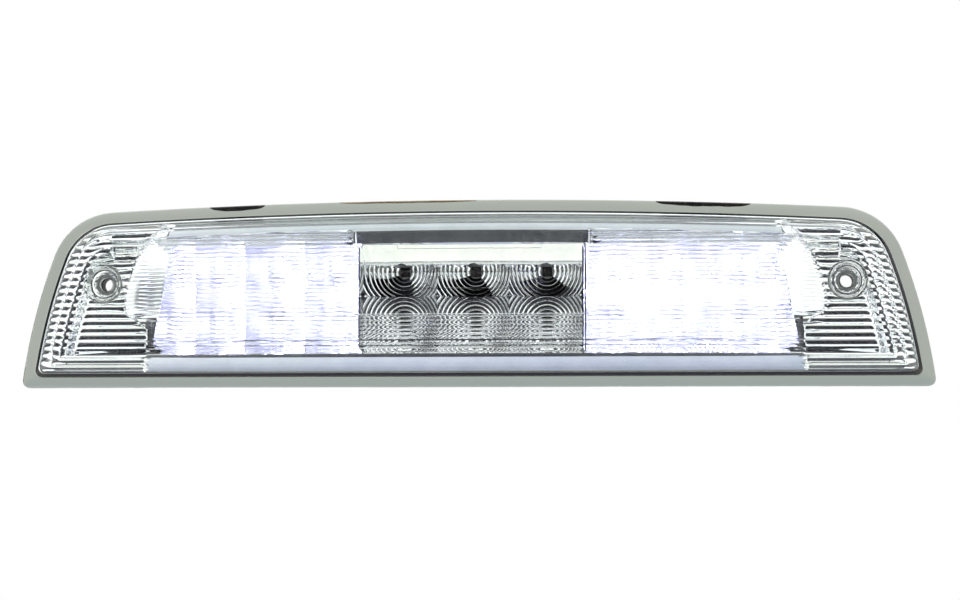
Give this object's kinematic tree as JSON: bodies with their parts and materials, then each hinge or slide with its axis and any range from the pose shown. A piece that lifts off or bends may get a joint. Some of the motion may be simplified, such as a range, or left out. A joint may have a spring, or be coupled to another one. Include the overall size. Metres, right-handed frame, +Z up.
{
  "type": "third brake light with cargo lamps",
  "caption": "High-mounted brake lamp for a pickup cab with a cargo lamp on each side, chrome reflectors behind one clear lens, and two screw holes.",
  "frame": {"origin": "midway between the two mounting screw holes, on the face that seats against the cab", "axes": "+X along the lamp, to the right seen from behind the vehicle; +Y into the vehicle, away from the viewer; +Z up"},
  "size_m": [0.439, 0.063, 0.09],
  "materials": {
    "clear_lens": "polished",
    "casing_plastic": "satin",
    "sealant": "satin",
    "foam": "matte",
    "clear_silicone": "satin",
    "seal_rubber": "satin",
    "chrome_plating": "polished",
    "circuit_board": "satin",
    "cargo_led": "gloss",
    "brake_led": "gloss",
    "screw_steel": "satin",
    "resistor": "satin",
    "chip_package": "matte",
    "capacitor_can": "satin",
    "connector_plastic": "satin",
    "membrane": "matte",
    "feed_wire": "satin",
    "ground_wire": "satin",
    "tin_plating": "satin"
  },
  "bodies": {
    "root": {"board_screws": "screw_steel", "brake_board": "circuit_board", "brake_driver": "chip_package", "brake_led_1": "brake_led", "brake_led_2": "brake_led", "brake_led_3": "brake_led", "brake_led_4": "brake_led", "brake_led_5": "brake_led", "brake_led_6": "brake_led", "brake_reflector": "chrome_plating", "brake_resistors": "resistor", "brake_terminal": "tin_plating", "cargo_board_left": "circuit_board", "cargo_board_right": "circuit_board", "cargo_driver_left": "chip_package", "cargo_driver_right": "chip_package", "cargo_led_1": "cargo_led", "cargo_led_10": "cargo_led", "cargo_led_11": "cargo_led", "cargo_led_12": "cargo_led", "cargo_led_13": "cargo_led", "cargo_led_14": "cargo_led", "cargo_led_15": "cargo_led", "cargo_led_16": "cargo_led", "cargo_led_2": "cargo_led", "cargo_led_3": "cargo_led", "cargo_led_4": "cargo_led", "cargo_led_5": "cargo_led", "cargo_led_6": "cargo_led", "cargo_led_7": "cargo_led", "cargo_led_8": "cargo_led", "cargo_led_9": "cargo_led", "cargo_reflector_left": "chrome_plating", "cargo_reflector_right": "chrome_plating", "cargo_resistors_left": "resistor", "cargo_resistors_right": "resistor", "cargo_terminal": "tin_plating", "chrome_bezel": "chrome_plating", "connector_screws": "screw_steel", "connector_seal": "seal_rubber", "connector_shell": "connector_plastic", "ground_terminal": "tin_plating", "housing": "casing_plastic", "input_capacitor": "capacitor_can", "jumper_feed_left": "feed_wire", "jumper_feed_right": "feed_wire", "jumper_ground_left": "ground_wire", "jumper_ground_right": "ground_wire", "lens": "clear_lens", "lens_seal": "sealant", "mounting_gasket": "foam", "surge_diode": "chip_package", "tube_seal_left": "clear_silicone", "tube_seal_right": "clear_silicone", "vent_cap": "casing_plastic", "vent_membrane": "membrane"}
  },
  "joints": []
}
